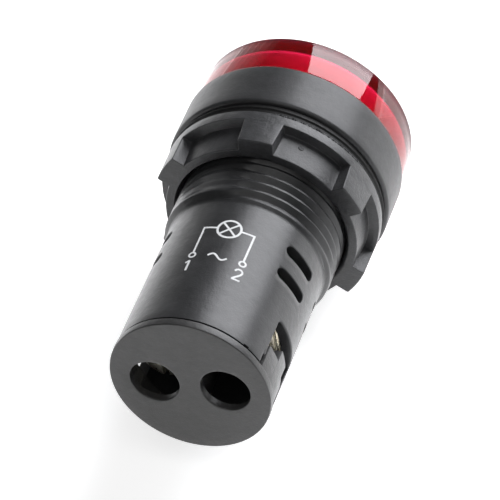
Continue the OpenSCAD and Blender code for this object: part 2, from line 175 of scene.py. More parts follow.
def rounded(corners, steps=5):
    """Closed path of (radius, station) points through (radius, station, fillet) corners."""
    path = []
    count = len(corners)
    for index, (x, y, fillet) in enumerate(corners):
        here = Vector((x, y))
        if fillet <= 0.0:
            path.append((x, y))
            continue
        before = Vector(corners[index - 1][:2]) - here
        after = Vector(corners[(index + 1) % count][:2]) - here
        half = before.angle(after) / 2.0
        reach = min(fillet / math.tan(half), 0.49 * before.length, 0.49 * after.length)
        radius = reach * math.tan(half)
        bisector = (before.normalized() + after.normalized()).normalized()
        centre = here + bisector * (radius / math.sin(half))
        start = here + before.normalized() * reach - centre
        end = here + after.normalized() * reach - centre
        first = math.atan2(start.y, start.x)
        sweep = (math.atan2(end.y, end.x) - first + math.pi) % (2.0 * math.pi) - math.pi
        for step in range(steps + 1):
            turn = first + sweep * step / steps
            path.append((centre.x + radius * math.cos(turn), centre.y + radius * math.sin(turn)))
    return path


def spread(path, longest):
    """The same path with no stretch longer than a length."""
    out = []
    for index, (r, z) in enumerate(path):
        nr, nz = path[(index + 1) % len(path)]
        pieces = max(1, math.ceil(math.hypot(nr - r, nz - z) / longest))
        for piece in range(pieces):
            share = piece / pieces
            out.append((r + (nr - r) * share, z + (nz - z) * share))
    return out


def new_piece(name, points, faces, sharp=35.0):
    """Object from points and faces, smooth apart from its sharp edges."""
    mesh = bpy.data.meshes.new(name)
    mesh.from_pydata(points, [], faces)
    shaped = bmesh.new()
    shaped.from_mesh(mesh)
    bmesh.ops.recalc_face_normals(shaped, faces=shaped.faces[:])
    shaped.to_mesh(mesh)
    shaped.free()
    piece = bpy.data.objects.new(name, mesh)
    bpy.context.collection.objects.link(piece)
    soften(piece, sharp)
    return piece


def soften(piece, sharp):
    """Smooth shading, with the edges above an angle kept sharp."""
    mesh = piece.data
    mesh.polygons.foreach_set("use_smooth", [True] * len(mesh.polygons))
    mesh.set_sharp_from_angle(angle=math.radians(sharp))


def lathe(name, path, segments, shape=None, sharp=35.0):
    """Object turned about the lamp's axis from a closed path, whose points a shape may move."""
    points = []
    rows = []
    for r, z in path:
        if r < 1e-6:
            rows.append([len(points)])
            points.append(lamp_point(0.0, 0.0, z))
            continue
        row = []
        for index in range(segments):
            angle = 360.0 * index / segments
            radius, station = shape(r, z, angle) if shape else (r, z)
            row.append(len(points))
            points.append(polar(radius, angle, station))
        rows.append(row)
    faces = []
    for index, low in enumerate(rows):
        high = rows[(index + 1) % len(rows)]
        if len(low) == 1 and len(high) == 1:
            continue
        for column in range(segments):
            after = (column + 1) % segments
            if len(low) == 1:
                faces.append((low[0], high[after], high[column]))
            elif len(high) == 1:
                faces.append((low[column], low[after], high[0]))
            else:
                faces.append((low[column], low[after], high[after], high[column]))
    return new_piece(name, points, faces, sharp)


def loft(name, rings):
    """Closed solid through rings of equal count, with a fan at each end."""
    points = [point for ring in rings for point in ring]
    count = len(rings[0])
    faces = []
    for level in range(len(rings) - 1):
        for index in range(count):
            after = (index + 1) % count
            base = level * count
            faces.append((base + index, base + after, base + count + after, base + count + index))
    for level in (0, len(rings) - 1):
        centre = sum(rings[level], Vector()) / count
        hub = len(points)
        points.append(centre)
        base = level * count
        for index in range(count):
            faces.append((base + index, base + (index + 1) % count, hub))
    return new_piece(name, points, faces)


def join(name, parts):
    """One object from several."""
    shaped = bmesh.new()
    for part in parts:
        shaped.from_mesh(part.data)
        mesh = part.data
        bpy.data.objects.remove(part)
        bpy.data.meshes.remove(mesh)
    mesh = bpy.data.meshes.new(name)
    shaped.to_mesh(mesh)
    shaped.free()
    piece = bpy.data.objects.new(name, mesh)
    bpy.context.collection.objects.link(piece)
    return piece


def welded(piece):
    """Mesh of a piece with its modifiers applied, without the slivers that they leave."""
    bpy.context.view_layer.update()
    seen = bpy.context.evaluated_depsgraph_get()
    mesh = bpy.data.meshes.new_from_object(piece.evaluated_get(seen))
    shaped = bmesh.new()
    shaped.from_mesh(mesh)
    bmesh.ops.remove_doubles(shaped, verts=shaped.verts[:], dist=WELD * MM)
    bmesh.ops.dissolve_degenerate(shaped, edges=shaped.edges[:], dist=WELD * MM)
    shaped.to_mesh(mesh)
    shaped.free()
    return mesh


def carve(piece, cutters, operation="DIFFERENCE", sharp=35.0):
    """Cuts a piece with the cutters and removes them."""
    for cutter in cutters:
        change = piece.modifiers.new("cut", "BOOLEAN")
        change.operation = operation
        change.solver = "EXACT"
        change.object = cutter
    mesh = welded(piece)
    piece.modifiers.clear()
    piece.data = mesh
    for cutter in cutters:
        bpy.data.objects.remove(cutter)
    soften(piece, sharp)


def flare(edge, deep, out=0.4, steps=5):
    """Levels (depth under the surface, widening) of a cut whose rim has a rounded edge."""
    levels = [(-out, edge + out * 0.2), (-0.02, edge + 0.01)]
    for step in range(1, steps + 1):
        turn = math.pi / 2.0 * step / steps
        levels.append((edge * (1.0 - math.cos(turn)), edge * (1.0 - math.sin(turn))))
    levels.append((deep, 0.0))
    return levels


def divided(outline, pieces):
    """The same outline with each of its edges cut into equal pieces."""
    points = []
    for index, (x, y) in enumerate(outline):
        nx, ny = outline[(index + 1) % len(outline)]
        for piece in range(pieces):
            share = piece / pieces
            points.append((x + (nx - x) * share, y + (ny - y) * share))
    return points


def radial_cutter(name, angle, outline, levels, surface):
    """Cutter that goes straight in from a round surface, with its outline in (across, station)."""
    rings = []
    for depth, wider in [(None, levels[0][1])] + levels:
        ring = []
        for across, station in divided(outline(wider), 8):
            outward = surface + 1.0
            if depth is not None:
                outward = math.sqrt(max((surface - depth) ** 2 - across * across, 0.01))
            ring.append(beside(outward, across, station, angle))
        rings.append(ring)
    return loft(name, rings)


def stadium(length, width, station, steps=10):
    """Outline of a slot with round ends, as a function of how much wider it is."""

    def outline(wider):
        radius = width / 2.0 + wider
        straight = (length - width) / 2.0
        points = []
        for end, first in ((1.0, -90.0), (-1.0, 90.0)):
            for step in range(steps + 1):
                turn = math.radians(first + 180.0 * step / steps)
                points.append((end * straight + radius * math.cos(turn), station + radius * math.sin(turn)))
        return points

    return outline


def rounded_box(half, low, high, corner, steps=5):
    """Outline of a box from low to high with rounded corners, as a function of how much wider it is."""

    def outline(wider):
        corners = [
            (half + wider, low - wider, 0.0),
            (half + wider, high + wider, corner + wider),
            (-half - wider, high + wider, corner + wider),
            (-half - wider, low - wider, 0.0),
        ]
        return rounded(corners, steps)

    return outline


def footed_box(half, low, high, corner, step, foot):
    """Outline of a box that is a step wider below its foot, as a function of how much wider it is."""

    def outline(wider):
        right = [
            (half + step + wider, low - wider, 0.0),
            (half + step + wider, foot + wider, 0.08),
            (half + wider, foot + wider, 0.08),
            (half + wider, high + wider, corner + wider),
        ]
        return rounded(right + [(-across, along, fillet) for across, along, fillet in reversed(right)])

    return outline


def thread_height(angle, z):
    """Height of the barrel's thread from 0 at its root to 1 at its crest."""
    crest = THREAD_PHASE + THREAD_PITCH * angle_gap(angle, THREAD_ANGLE) / 360.0
    away = abs((z - crest + THREAD_PITCH / 2.0) % THREAD_PITCH - THREAD_PITCH / 2.0)
    return 1.0 - min(max((away - CREST_HALF) / CREST_SLOPE, 0.0), 1.0)


def thread_share(angle):
    """How much of the thread is cut at an angle: none on the two smooth flanks of the barrel."""
    share = 1.0
    for middle in FLANK_ANGLES:
        off = angle_gap(angle, middle)
        inside = min(smooth_step(*FLANK_BEGINS, off), 1.0 - smooth_step(*FLANK_ENDS, off))
        share = min(share, 1.0 - inside)
    return share


# Materials
def clear_tree(material):
    """Empty node tree with an output and a principled shader."""
    material.use_nodes = True
    tree = material.node_tree
    tree.nodes.clear()
    output = tree.nodes.new("ShaderNodeOutputMaterial")
    shader = tree.nodes.new("ShaderNodeBsdfPrincipled")
    tree.links.new(shader.outputs["BSDF"], output.inputs["Surface"])
    return tree, shader, output


def place_noise(tree, scale, detail=4.0, rough=0.55, stretch=None):
    """Noise in the shared frame, in features per metre."""
    where = tree.nodes.new("ShaderNodeTexCoord")
    source = where.outputs["Object"]
    if stretch:
        mapping = tree.nodes.new("ShaderNodeMapping")
        mapping.inputs["Scale"].default_value = stretch
        tree.links.new(source, mapping.inputs["Vector"])
        source = mapping.outputs["Vector"]
    noise = tree.nodes.new("ShaderNodeTexNoise")
    noise.inputs["Scale"].default_value = scale
    noise.inputs["Detail"].default_value = detail
    noise.inputs["Roughness"].default_value = rough
    tree.links.new(source, noise.inputs["Vector"])
    return noise.outputs["Fac"]


def ramp(tree, source, stops):
    """Colour ramp over a value."""
    node = tree.nodes.new("ShaderNodeValToRGB")
    elements = node.color_ramp.elements
    while len(elements) < len(stops):
        elements.new(0.5)
    for element, (place, colour) in zip(elements, stops):
        element.position = place
        element.color = (*colour, 1.0)
    tree.links.new(source, node.inputs["Fac"])
    return node.outputs["Color"]


def stretch_range(tree, source, low, high, start=0.3, end=0.7):
    """Value moved from one range to another."""
    node = tree.nodes.new("ShaderNodeMapRange")
    node.inputs["From Min"].default_value = start
    node.inputs["From Max"].default_value = end
    node.inputs["To Min"].default_value = low
    node.inputs["To Max"].default_value = high
    tree.links.new(source, node.inputs["Value"])
    return node.outputs["Result"]


def bump(tree, shader, source, distance, strength=1.0, under=None):
    """Fine relief in metres."""
    node = tree.nodes.new("ShaderNodeBump")
    node.inputs["Distance"].default_value = distance
    node.inputs["Strength"].default_value = strength
    tree.links.new(source, node.inputs["Height"])
    if under:
        tree.links.new(under, node.inputs["Normal"])
    tree.links.new(node.outputs["Normal"], shader.inputs["Normal"])
    return node.outputs["Normal"]


def axis_place(tree):
    """Distance from the lamp's axis and place along it, rearwards, in metres."""
    where = tree.nodes.new("ShaderNodeTexCoord")
    parts = tree.nodes.new("ShaderNodeSeparateXYZ")
    tree.links.new(where.outputs["Object"], parts.inputs["Vector"])
    flat = tree.nodes.new("ShaderNodeCombineXYZ")
    tree.links.new(parts.outputs["X"], flat.inputs["X"])
    tree.links.new(parts.outputs["Z"], flat.inputs["Z"])
    radius = tree.nodes.new("ShaderNodeVectorMath")
    radius.operation = "LENGTH"
    tree.links.new(flat.outputs["Vector"], radius.inputs[0])
    return radius.outputs["Value"], parts.outputs["Y"]


def combined(tree, operation, first, second):
    """Result of an operation on two values."""
    node = tree.nodes.new("ShaderNodeMath")
    node.operation = operation
    tree.links.new(first, node.inputs[0])
    tree.links.new(second, node.inputs[1])
    return node.outputs[0]


SKIN_ROUGHNESS = 0.33


def plastic(name, dark, light, rough, grain=3000.0, relief=0.00001, mottle=420.0, specular=0.5, rim=None,
            skin=0.0):
    """Moulded plastic: mottled colour, uneven gloss and a fine spark-eroded grain; a rim may be duller."""
    material = bpy.data.materials.new(name)
    tree, shader, _ = clear_tree(material)
    clouds = place_noise(tree, mottle, 5.0, 0.62)
    tree.links.new(ramp(tree, clouds, [(0.3, dark), (0.72, light)]), shader.inputs["Base Color"])
    scuffs = place_noise(tree, mottle * 2.7, 6.0, 0.7)
    gloss = stretch_range(tree, scuffs, rough[0], rough[1])
    if rim:
        start, end, duller = rim
        radius, _ = axis_place(tree)
        gloss = combined(tree, "ADD", gloss, stretch_range(tree, radius, 0.0, duller, start, end))
    tree.links.new(gloss, shader.inputs["Roughness"])
    shader.inputs["Specular IOR Level"].default_value = specular
    shader.inputs["Coat Weight"].default_value = skin
    shader.inputs["Coat Roughness"].default_value = SKIN_ROUGHNESS
    coarse = bump(tree, shader, place_noise(tree, grain * 0.22, 3.0, 0.5), relief * 2.2, 0.6)
    bump(tree, shader, place_noise(tree, grain, 3.0, 0.6), relief, 0.8, coarse)
    return material


def metal(name, dull, bright, rough, brush):
    """Plated metal: tarnish in patches, fine drawing marks."""
    material = bpy.data.materials.new(name)
    tree, shader, _ = clear_tree(material)
    shader.inputs["Metallic"].default_value = 1.0
    patches = place_noise(tree, 900.0, 5.0, 0.6)
    tree.links.new(ramp(tree, patches, [(0.3, dull), (0.7, bright)]), shader.inputs["Base Color"])
    marks = place_noise(tree, 2600.0, 4.0, 0.6, brush)
    tree.links.new(stretch_range(tree, marks, rough[0], rough[1]), shader.inputs["Roughness"])
    bump(tree, shader, marks, 0.000012, 0.5)
    return material


def board_finish(name):
    """Solder-masked board: copper tracks show as paler green under the mask."""
    material = bpy.data.materials.new(name)
    tree, shader, _ = clear_tree(material)
    where = tree.nodes.new("ShaderNodeTexCoord")
    cells = tree.nodes.new("ShaderNodeTexBrick")
    cells.inputs["Scale"].default_value = 260.0
    cells.inputs["Mortar Size"].default_value = 0.06
    cells.inputs["Color1"].default_value = (0.010, 0.110, 0.035, 1.0)
    cells.inputs["Color2"].default_value = (0.014, 0.135, 0.045, 1.0)
    cells.inputs["Mortar"].default_value = (0.004, 0.060, 0.018, 1.0)
    tree.links.new(where.outputs["Object"], cells.inputs["Vector"])
    tree.links.new(cells.outputs["Color"], shader.inputs["Base Color"])
    weave = place_noise(tree, 3000.0, 3.0)
    tree.links.new(stretch_range(tree, weave, 0.30, 0.46), shader.inputs["Roughness"])
    bump(tree, shader, weave, 0.00001, 0.5)
    return material


def lens_finish(name):
    """Clear red moulding: the colour comes from the depth of plastic that light crosses."""
    material = bpy.data.materials.new(name)
    tree, shader, output = clear_tree(material)
    shader.inputs["Base Color"].default_value = (1.0, 1.0, 1.0, 1.0)
    shader.inputs["IOR"].default_value = 1.54
    shader.inputs["Transmission Weight"].default_value = 1.0
    ripple = place_noise(tree, 260.0, 2.0)
    bump(tree, shader, ripple, 0.00003, 0.35)
    radius, rearward = axis_place(tree)
    # The bore and the plate's inside are frosted, and the outside is polished
    bore = stretch_range(tree, radius, 0.55, 0.0, 0.01195, 0.0121)
    plate = stretch_range(tree, radius, 0.13, 0.0, 0.0114, 0.0117)
    behind_front = stretch_range(tree, rearward, 0.0, 1.0, -0.0122, -0.0118)
    inside = combined(tree, "MULTIPLY", combined(tree, "SUBTRACT", bore, plate), behind_front)
    polish = combined(tree, "MAXIMUM", inside, stretch_range(tree, ripple, 0.02, 0.06))
    tree.links.new(polish, shader.inputs["Roughness"])
    # The front edge is darker and matt near its rim: a dark red matt shader is mixed in there
    front = stretch_range(tree, rearward, 0.52, 0.0, -0.01255, -0.01165)
    edge = combined(tree, "MULTIPLY", front, stretch_range(tree, radius, 0.0, 1.0, 0.01365, 0.01380))
    dull = tree.nodes.new("ShaderNodeBsdfDiffuse")
    dull.inputs["Color"].default_value = (0.10, 0.02, 0.03, 1.0)
    dark_rim_mix = tree.nodes.new("ShaderNodeMixShader")
    tree.links.new(edge, dark_rim_mix.inputs["Fac"])
    tree.links.new(shader.outputs["BSDF"], dark_rim_mix.inputs[1])
    tree.links.new(dull.outputs["BSDF"], dark_rim_mix.inputs[2])
    clear = tree.nodes.new("ShaderNodeBsdfTransparent")
    clear.inputs["Color"].default_value = (0.50, 0.50, 0.50, 1.0)
    rays = tree.nodes.new("ShaderNodeLightPath")
    passing = tree.nodes.new("ShaderNodeMixShader")
    tree.links.new(rays.outputs["Is Shadow Ray"], passing.inputs["Fac"])
    tree.links.new(dark_rim_mix.outputs["Shader"], passing.inputs[1])
    tree.links.new(clear.outputs["BSDF"], passing.inputs[2])
    tree.links.new(passing.outputs["Shader"], output.inputs["Surface"])
    depth = tree.nodes.new("ShaderNodeVolumeAbsorption")
    depth.inputs["Color"].default_value = (0.900, 0.050, 0.400, 1.0)
    depth.inputs["Density"].default_value = 1200.0
    tree.links.new(depth.outputs["Volume"], output.inputs["Volume"])
    return material


def frosted(name, tint, rough):
    """Milky plastic with a cloudy tone."""
    material = bpy.data.materials.new(name)
    tree, shader, _ = clear_tree(material)
    cloud = place_noise(tree, 700.0, 4.0)
    paler = tuple(min(1.0, part * 1.05) for part in tint)
    tree.links.new(ramp(tree, cloud, [(0.3, tint), (0.7, paler)]), shader.inputs["Base Color"])
    tree.links.new(stretch_range(tree, cloud, rough - 0.06, rough + 0.06), shader.inputs["Roughness"])
    bump(tree, shader, place_noise(tree, 5200.0, 3.0), 0.000015, 0.7)
    return material


BLACK = plastic(
    "housing_black", (0.020, 0.0204, 0.0214), (0.036, 0.0364, 0.0378), rough=(0.30, 0.43), grain=5200.0,
    relief=0.000032, specular=0.26, rim=(0.0112, 0.0125, 0.14), skin=0.45)
# The cap's black is painted lighter than the housing's: painted light standing in for the light its rear face
# catches from the pale floor.
CAP_BLACK_PAINTED_LIGHT = plastic(
    "cap_black_painted_light", (0.034, 0.034, 0.034), (0.048, 0.0475, 0.047), rough=(0.32, 0.45), grain=5600.0,
    relief=0.00005, specular=0.28, skin=0.4)
NUT_BLACK = plastic(
    "nut_black", (0.026, 0.0265, 0.028), (0.045, 0.0455, 0.048), rough=(0.33, 0.48), grain=4600.0,
    relief=0.00007, mottle=520.0, specular=0.27, skin=0.45)
RUBBER = plastic(
    "gasket_black", (0.003, 0.003, 0.003), (0.008, 0.008, 0.008), rough=(0.45, 0.62), grain=3600.0,
    relief=0.00002, mottle=600.0, specular=0.3)
SEAL = plastic(
    "seal_black", (0.010, 0.010, 0.010), (0.020, 0.020, 0.020), rough=(0.5, 0.7), grain=4000.0,
    relief=0.00002, mottle=500.0, specular=0.35)
WHITE = plastic("reflector_white", (0.66, 0.66, 0.64), (0.74, 0.74, 0.72), rough=(0.35, 0.5))
INK = plastic(
    "ink_white", (0.70, 0.71, 0.71), (0.82, 0.83, 0.83), rough=(0.45, 0.65), grain=6000.0,
    relief=0.000012, mottle=1500.0)
LENS = lens_finish("lens_red")
FROST = frosted("diffuser_frosted", (0.84, 0.83, 0.82), 0.5)
BOARD = board_finish("board_green")
CHIP = frosted("chip_phosphor", (0.85, 0.74, 0.30), 0.4)
YELLOW = plastic("capacitor_yellow", (0.55, 0.36, 0.03), (0.66, 0.45, 0.05), rough=(0.3, 0.45))
SLEEVE = plastic("capacitor_sleeve", (0.01, 0.014, 0.04), (0.016, 0.022, 0.06), (0.22, 0.34), grain=2400.0)
CHIP_BLACK = plastic("chip_black", (0.01, 0.01, 0.01), (0.02, 0.02, 0.02), (0.45, 0.6), grain=4200.0)
BEIGE = plastic("resistor_body", (0.42, 0.30, 0.17), (0.52, 0.38, 0.23), rough=(0.35, 0.5))
BLUE = plastic("varistor_blue", (0.02, 0.08, 0.30), (0.03, 0.11, 0.38), rough=(0.3, 0.45))
BRASS = metal("pin_brass", (0.62, 0.45, 0.20), (0.78, 0.60, 0.30), (0.22, 0.36), (1.0, 0.1, 1.0))
PLATE = metal("terminal_nickel", (0.75, 0.70, 0.58), (0.95, 0.92, 0.82), (0.20, 0.38), (1.0, 1.0, 0.12))
STEEL = metal("screw_steel", (0.68, 0.64, 0.53), (0.92, 0.88, 0.76), (0.26, 0.44), (1.0, 0.2, 1.0))


def finish_piece(piece, material, body, slot_name, *nodes):
    """Gives a piece its material and body, and hides the nodes that it stands for; slot_name is not used."""
    piece.data.materials.clear()
    piece.data.materials.append(material)
    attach(piece, body)
    if nodes:
        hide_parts(*nodes)
    return piece


# Bezel and threaded barrel
def barrel_shape(r, z, angle):
    """Cuts the thread into the barrel's outer wall."""
    if z < THREAD_END - THREAD_START or z > -0.05 or r < TUBE_R - 0.05:
        return r, z
    share = thread_share(angle)
    height = thread_height(angle, z)
    start = smooth_step(THREAD_END - THREAD_START, THREAD_END + 0.3, z)
    threaded = THREAD_ROOT_R + (BARREL_R - THREAD_ROOT_R) * height * start
    plain = FLANK_R + FLANK_TRACE * height
    level = threaded * share + (TUBE_R + (plain - TUBE_R) * start) * (1.0 - share)
    return min(r, level), z


# The barrel runs out into the tube in a hollow curve
run_out = []
for step in range(8):
    share = step / 8.0
    hollow = TUBE_R + 0.01 + (BARREL_R - TUBE_R) * share ** 2
    run_out.append((hollow, THREAD_END - RUN_OUT * (1.0 - share), 0.0))
barrel_corners = [
    (BORE_R, THREAD_END - RUN_OUT, 0.0),
    *run_out,
    (BARREL_R, THREAD_END, 0.0),
    (BARREL_R, 0.0, 0.0),
    (BEZEL_R, 0.0, 0.5),
    (BEZEL_R, BEZEL_FRONT, 0.6),
    (SEAL_OUTER_R, BEZEL_FRONT, 0.05),
    (SEAL_OUTER_R, SEAL_FLOOR, 0.0),
    (SEAL_INNER_R, SEAL_FLOOR, 0.0),
    (SEAL_INNER_R, BEZEL_FRONT, 0.05),
    (CAVITY_R, BEZEL_FRONT, 0.08),
    (CAVITY_R, LEDGE, 0.0),
    (BORE_R, LEDGE, 0.1),
]
barrel_path = []
for point_r, point_z in spread(rounded(barrel_corners), 1.2):
    if not (abs(point_r - BARREL_R) < 1e-6 and THREAD_END < point_z < 0.0):
        barrel_path.append((point_r, point_z))
        if abs(point_r - BARREL_R) < 1e-6 and abs(point_z - THREAD_END) < 1e-6:
            thread_rows = 230
            for row in range(1, thread_rows):
                barrel_path.append((BARREL_R, THREAD_END * (1.0 - row / thread_rows)))
bezel = lathe("bezel_and_barrel", barrel_path, 320, barrel_shape)
finish_piece(bezel, BLACK, "housing", "housing_plastic", "housing")


def terminal_ring(side, radius, z, count):
    """Ring of points about the axis of one terminal."""
    turns = [math.tau * index / count for index in range(count)]
    x = side * TERMINAL_X
    return [lamp_point(x + radius * math.cos(turn), radius * math.sin(turn), z) for turn in turns]


# Tube with vent slots, wire windows and a parting notch
tube_corners = [
    (BORE_R, BODY_END, 0.12),
    (TUBE_R - 0.3, BODY_END, 0.0),
    (TUBE_R - 0.3, BODY_END + 0.15, 0.0),
    (TUBE_R, BODY_END + 0.15, 0.05),
    (TUBE_R, TUBE_FRONT, 0.0),
    (BORE_R + 0.02, TUBE_FRONT, 0.0),
    (BORE_R + 0.02, SHELF_FRONT, 0.0),
    (0.0, SHELF_FRONT, 0.0),
    (0.0, SHELF_REAR, 0.0),
    (BORE_R, SHELF_REAR, 0.0),
]
tube_path = []
for point_r, point_z in spread(rounded(tube_corners), 1.3):
    if not (tube_path and point_r < 1e-6 and tube_path[-1][0] < 1e-6 and abs(point_z - SHELF_REAR) > 1e-6):
        tube_path.append((point_r, point_z))
tube = lathe("tube", tube_path, 240)
cuts = []
for side in (0.0, 180.0):
    for lean in VENT_ANGLES:
        for station in VENT_STATIONS:
            slot = stadium(VENT_LENGTH, VENT_WIDTH, station)
            cuts.append(radial_cutter("vent", side + lean, slot, flare(0.10, CUT_DEPTH), TUBE_R))
    opening = footed_box(WINDOW_HALF, BODY_END - 1.5, WINDOW_TOP, 0.45, 0.28, BODY_END + 1.5)
    cuts.append(radial_cutter("window", side, opening, flare(0.18, CUT_DEPTH), TUBE_R))
notch = rounded_box(0.4, BODY_END - 0.6, BODY_END + 0.35, 0.1)
cuts.append(radial_cutter("notch", NOTCH_ANGLE, notch, flare(0.05, 0.5), TUBE_R))
for side in (-1.0, 1.0):
    levels = (SHELF_REAR - 0.4, SHELF_FRONT + 0.4)
    cuts.append(loft("collar_hole", [terminal_ring(side, COLLAR_HOLE_R, z, 40) for z in levels]))
carve(tube, [join("tube_cuts", cuts)])
finish_piece(tube, BLACK, "housing", "housing_plastic", "housing")

# Rear cap: rim with two screwdriver holes, spigot, barrier and stepped tongues
cap_path = rounded([
    (0.0, CAP_REAR, 0.0),
    (CAP_R - 0.06, CAP_REAR, 0.16),
    (CAP_R, CAP_TOP, 0.06),
    (SPIGOT_R, CAP_TOP, 0.0),
    (SPIGOT_R, SPIGOT_END, 0.15),
    (SPIGOT_BORE_R, SPIGOT_END, 0.15),
    (SPIGOT_BORE_R, CAP_INSIDE, 0.2),
    (0.0, CAP_INSIDE, 0.0),
])
rear_cap = lathe("cap_rim", spread(cap_path, 1.4), 220)
# Depth and widening of the screwdriver holes, with a rounded mouth
HOLE_LEVELS = ((-0.5, 0.39), (0.0, 0.16), (0.02, 0.10), (0.06, 0.045), (0.11, 0.012), (0.17, 0.0),
               (0.98, 0.0), (1.0, 0.35), (9.0, 0.35))
cuts = []
for side in (-1.0, 1.0):
    rings = [terminal_ring(side, TOOL_HOLE_R + wider, CAP_REAR + depth, 72) for depth, wider in HOLE_LEVELS]
    cuts.append(loft("tool_hole", rings))
carve(rear_cap, [join("cap_cuts", cuts)])
finish_piece(rear_cap, CAP_BLACK_PAINTED_LIGHT, "housing", "cap_plastic", "rear_cap")


def bevel(piece, width, segments=3, sharp=35.0):
    """Rounds the sharp edges of a piece."""
    change = piece.modifiers.new("edges", "BEVEL")
    change.width = width * MM
    change.segments = segments
    change.limit_method = "ANGLE"
    change.angle_limit = math.radians(40.0)
    change.use_clamp_overlap = True
    mesh = welded(piece)
    piece.modifiers.clear()
    piece.data = mesh
    soften(piece, sharp)


def prism(name, outline, low, high, angle):
    """Solid of an (across, station) outline, drawn out along a direction from the axis."""
    points = [
        beside(outward, across, station, angle)
        for outward in (low, high)
        for across, station in outline
    ]
    count = len(outline)
    faces = [tuple(range(count)), tuple(range(count, 2 * count))]
    for index in range(count):
        after = (index + 1) % count
        faces.append((index, after, count + after, count + index))
    return new_piece(name, points, faces)


# Stepped tongues of the cap, which close the lower part of each wire window
TONGUE = [
    (-3.80, -34.75), (3.80, -34.75), (3.80, -33.45), (3.62, -33.25), (3.70, -32.7), (3.54, -32.4),
    (3.62, -31.7), (3.55, -31.05), (1.35, -31.05), (1.35, -29.25), (-1.35, -29.25), (-1.35, -31.05),
    (-3.80, -31.05),
]
TONGUE_R = TUBE_R - 0.14
TONGUE_BORE_R = 8.95
for number, side in enumerate((0.0, 180.0)):
    band = [(TONGUE_BORE_R, -34.9), (TONGUE_R, -34.9), (TONGUE_R, -29.0), (TONGUE_BORE_R, -29.0)]
    tongue = lathe("cap_tongue_%d" % (number + 1), band, 240)
    carve(tongue, [prism("tongue_cut", TONGUE, 6.0, 12.0, side)], "INTERSECT")
    bevel(tongue, 0.08)
    finish_piece(tongue, CAP_BLACK_PAINTED_LIGHT, "housing", "cap_plastic", "rear_cap")

barrier_outline = [(-5.0, -34.9), (5.0, -34.9), (5.0, -26.3), (-5.0, -26.3)]
barrier = prism("cap_barrier", barrier_outline, -0.7, 0.7, 0.0)
cuts = []
for side in (-1.0, 1.0):
    cuts.append(loft("well", [terminal_ring(side, WELL_R, z, 60) for z in (-36.0, -26.0)]))
carve(barrier, [join("wells", cuts)])
bevel(barrier, 0.1)
finish_piece(barrier, CAP_BLACK_PAINTED_LIGHT, "housing", "cap_plastic", "rear_cap")


# Nut: a grid that follows its pockets, drafted lobes and collar, with rounded edges of a quarter turn
QUARTER = [math.pi / 2.0 * step / 4 for step in range(5)]


def nut_columns(half):
    """(outer radius, angle from the lobe's middle) of each column over half a lobe and half a pocket."""
    top, foot = 0.13, 0.10
    columns = []
    for share in (0.0, 0.35, 0.7):
        columns.append((LOBE_R, share * (half - top)))
    for step in range(6):
        turn = math.pi / 2.0 * step / 5
        columns.append((LOBE_R - top * (1.0 - math.cos(turn)), half - top + top * math.sin(turn)))
    columns.append((LOBE_R - 0.9, half))
    for turn in QUARTER:
        columns.append((NUT_BODY_R + foot * (1.0 - math.sin(turn)), half + foot * (1.0 - math.cos(turn))))
    turned = [(radius, math.degrees(math.asin(across / radius))) for radius, across in columns]
    last = turned[-1][1]
    for share in (0.15, 0.35, 0.6, 0.85):
        turned.append((NUT_BODY_R, last + (180.0 / LOBE_COUNT - last) * share))
    return turned


def nut_rows(outer):
    """(radius, station) path of a column, from the bore's rear lead over the outside to the front face."""
    rear, rim, front, foot = 0.12, 0.09, 0.14, 0.10
    depth = (LOBE_R - outer) / (LOBE_R - NUT_BODY_R)
    inner = outer + POCKET_RISE * depth + (COLLAR_R - LOBE_R - 0.01) * (1.0 - depth)
    shallow = COLLAR_R - inner < 0.25
    shares = (0.0, 0.1, 0.5, 0.9)
    path = [(NUT_LEAD_R + (outer - rear - NUT_LEAD_R) * share, NUT_REAR) for share in shares]
    for turn in QUARTER:
        path.append((outer - rear * (1.0 - math.sin(turn)), NUT_REAR + rear * (1.0 - math.cos(turn))))
    low, high = NUT_REAR + rear, COLLAR_REAR - foot
    for share in (0.2, 0.45, 0.7, 0.9):
        path.append((outer + (inner - outer) * share, low + (high - low) * share))
    if shallow:
        for step in range(10):
            share = (step + 0.5) / 10.0
            path.append((inner + (COLLAR_R - inner) * smooth_step(0.0, 1.0, share),
                         COLLAR_REAR + foot * (2.0 * share - 1.0)))
    else:
        for turn in QUARTER:
            path.append((inner + foot * (1.0 - math.cos(turn)), COLLAR_REAR - foot * (1.0 - math.sin(turn))))
        for turn in QUARTER:
            path.append((COLLAR_R - rim * (1.0 - math.sin(turn)), COLLAR_REAR + rim * (1.0 - math.cos(turn))))
    path.append((COLLAR_R, (COLLAR_REAR + NUT_FRONT) / 2.0))
    for turn in QUARTER:
        path.append((COLLAR_R - front * (1.0 - math.cos(turn)), NUT_FRONT - front * (1.0 - math.sin(turn))))
    path += [(13.0, NUT_FRONT), (11.5, NUT_FRONT), (11.15, NUT_FRONT - 0.02)]
    path.append((NUT_BORE_R + 0.01, NUT_FRONT - NUT_MOUTH))
    return path


